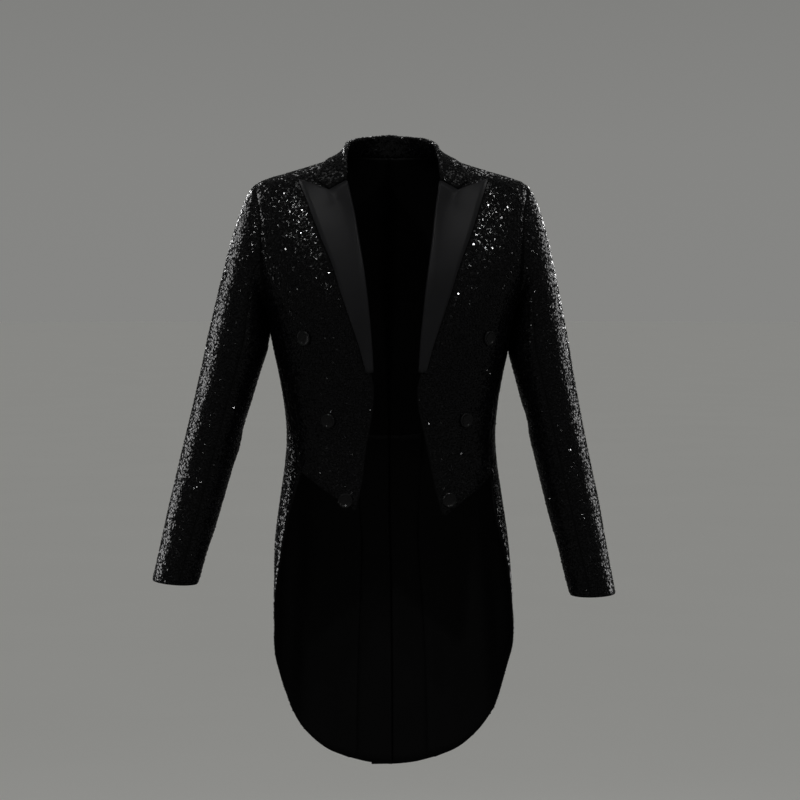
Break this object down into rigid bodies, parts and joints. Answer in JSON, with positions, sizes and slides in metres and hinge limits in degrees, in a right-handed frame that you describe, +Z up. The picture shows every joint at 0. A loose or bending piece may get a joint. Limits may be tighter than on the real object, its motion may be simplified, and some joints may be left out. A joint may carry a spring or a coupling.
{
  "type": "white tie tailcoat",
  "caption": "Evening tailcoat worn open, hollow, with pointed satin lapels, a cutaway front, long sleeves and swallow tails.",
  "frame": {"origin": "midway between the two neck points of the shoulder seams, where a wearer's shoulders carry the coat", "axes": "+Z up, the coat's front faces -Y, the wearer's left is +X"},
  "size_m": [0.6873, 0.2575, 0.9756],
  "materials": {
    "sequinned_cloth": "black sequins sewn all over a black cloth",
    "satin": "black satin",
    "lining": "smooth black lining",
    "button": "polished black"
  },
  "bodies": {
    "root": {"front_left": "sequinned_cloth", "front_right": "sequinned_cloth", "side_body_left": "sequinned_cloth", "side_body_right": "sequinned_cloth", "back_left": "sequinned_cloth", "back_right": "sequinned_cloth", "skirt_left": "sequinned_cloth", "skirt_right": "sequinned_cloth", "top_sleeve_left": "sequinned_cloth", "under_sleeve_left": "sequinned_cloth", "top_sleeve_right": "sequinned_cloth", "under_sleeve_right": "sequinned_cloth", "collar": "sequinned_cloth", "lapel_left": "satin", "lapel_right": "satin", "tail_lining_left": "lining", "tail_lining_right": "lining", "strip_lining_left": "lining", "strip_lining_right": "lining", "button_left_1": "button", "button_left_2": "button", "button_left_3": "button", "button_right_1": "button", "button_right_2": "button", "button_right_3": "button"}
  },
  "joints": []
}
